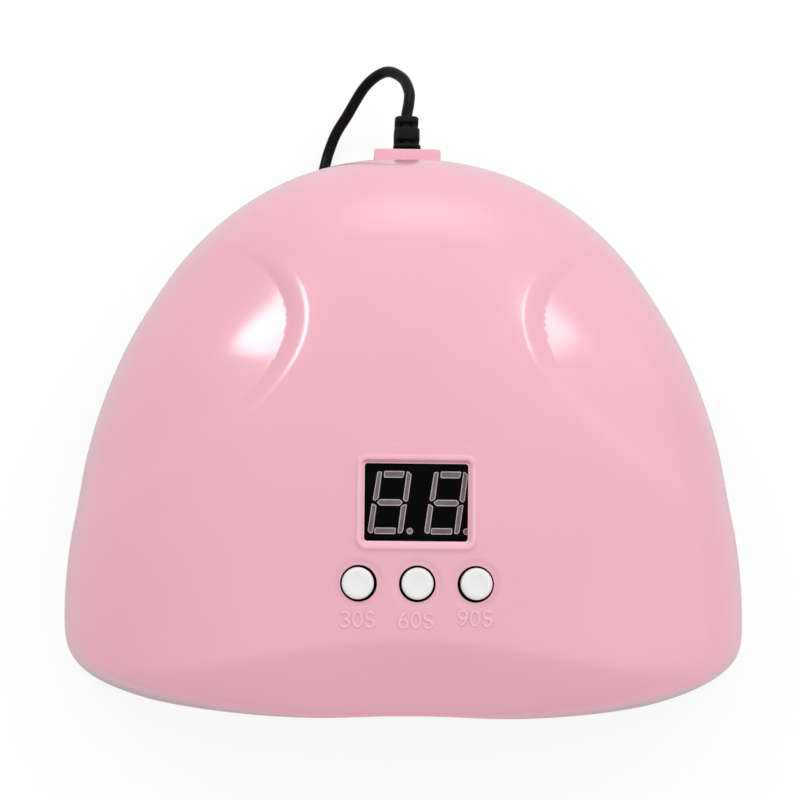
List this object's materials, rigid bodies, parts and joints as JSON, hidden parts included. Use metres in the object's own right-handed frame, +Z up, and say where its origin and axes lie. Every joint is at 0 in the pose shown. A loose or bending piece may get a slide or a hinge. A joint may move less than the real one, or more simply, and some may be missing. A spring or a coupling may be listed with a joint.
{
  "type": "uv led nail lamp",
  "caption": "Dome-shaped nail curing lamp with a silvered hand tunnel, a two-digit timer display, push buttons and a captive supply cord.",
  "frame": {"origin": "on the table, at the centre of the rear rubber foot, on the mid-plane", "axes": "+X to the right of a person facing the hand opening's side, +Y to the back, +Z up"},
  "size_m": [0.1648, 0.1782, 0.067],
  "materials": {
    "pink_shell": "high gloss, smooth moulded",
    "silver_liner": "vacuum metallised reflector",
    "lamp_board": "white solder mask on aluminium",
    "lamp_bead": "phosphor coated lamp chip",
    "clear_lens": "clear dome",
    "display_black": "smooth black face",
    "segment_grey": "unlit diffuser",
    "tinned": "tinned metal",
    "circuit_green": "solder mask",
    "switch_black": "moulded",
    "button_white": "glossy moulded",
    "chip_black": "epoxy package",
    "capacitor_sleeve": "can",
    "socket_ivory": "moulded nylon",
    "screw_steel": "zinc plated",
    "clamp_nylon": "moulded nylon",
    "cord_black": "smooth glossy jacket",
    "relief_black": "moulded, semi gloss",
    "wire_red": "insulation",
    "wire_white": "insulation",
    "foot_rubber": "matt"
  },
  "bodies": {
    "housing": {"top_shell": "pink_shell", "cord_collar": "pink_shell", "reflector_liner": "silver_liner", "lamp_pads": "lamp_board", "lamp_beads": "lamp_bead", "lamp_lenses": "clear_lens", "display_module": "display_black", "display_segments": "segment_grey", "display_pins": "tinned", "control_board": "circuit_green", "switch_bodies": "switch_black", "switch_covers": "tinned", "switch_legs": "tinned", "microcontroller": "chip_black", "power_transistors": "chip_black", "filter_capacitor": "capacitor_sleeve", "chip_resistors": "chip_black", "wire_socket": "socket_ivory", "board_screws": "screw_steel", "liner_screws": "screw_steel", "cord_clamp": "clamp_nylon", "clamp_screws": "screw_steel", "strain_relief": "relief_black", "power_cord": "cord_black", "supply_wires": "wire_red", "lamp_wires": "wire_white", "rubber_feet": "foot_rubber"},
    "button_30": {"button_cap_30": "button_white", "switch_plunger_30": "switch_black"},
    "button_60": {"button_cap_60": "button_white", "switch_plunger_60": "switch_black"},
    "button_90": {"button_cap_90": "button_white", "switch_plunger_90": "switch_black"}
  },
  "joints": [
    {"name": "press_30", "type": "slide", "parent": "housing", "child": "button_30", "axis": [0, 0.342, -0.9397], "range_m": [0, 0.0005], "stiffness_N_per_m": 1500},
    {"name": "press_60", "type": "slide", "parent": "housing", "child": "button_60", "axis": [0, 0.342, -0.9397], "range_m": [0, 0.0005], "stiffness_N_per_m": 1500},
    {"name": "press_90", "type": "slide", "parent": "housing", "child": "button_90", "axis": [0, 0.342, -0.9397], "range_m": [0, 0.0005], "stiffness_N_per_m": 1500}
  ]
}
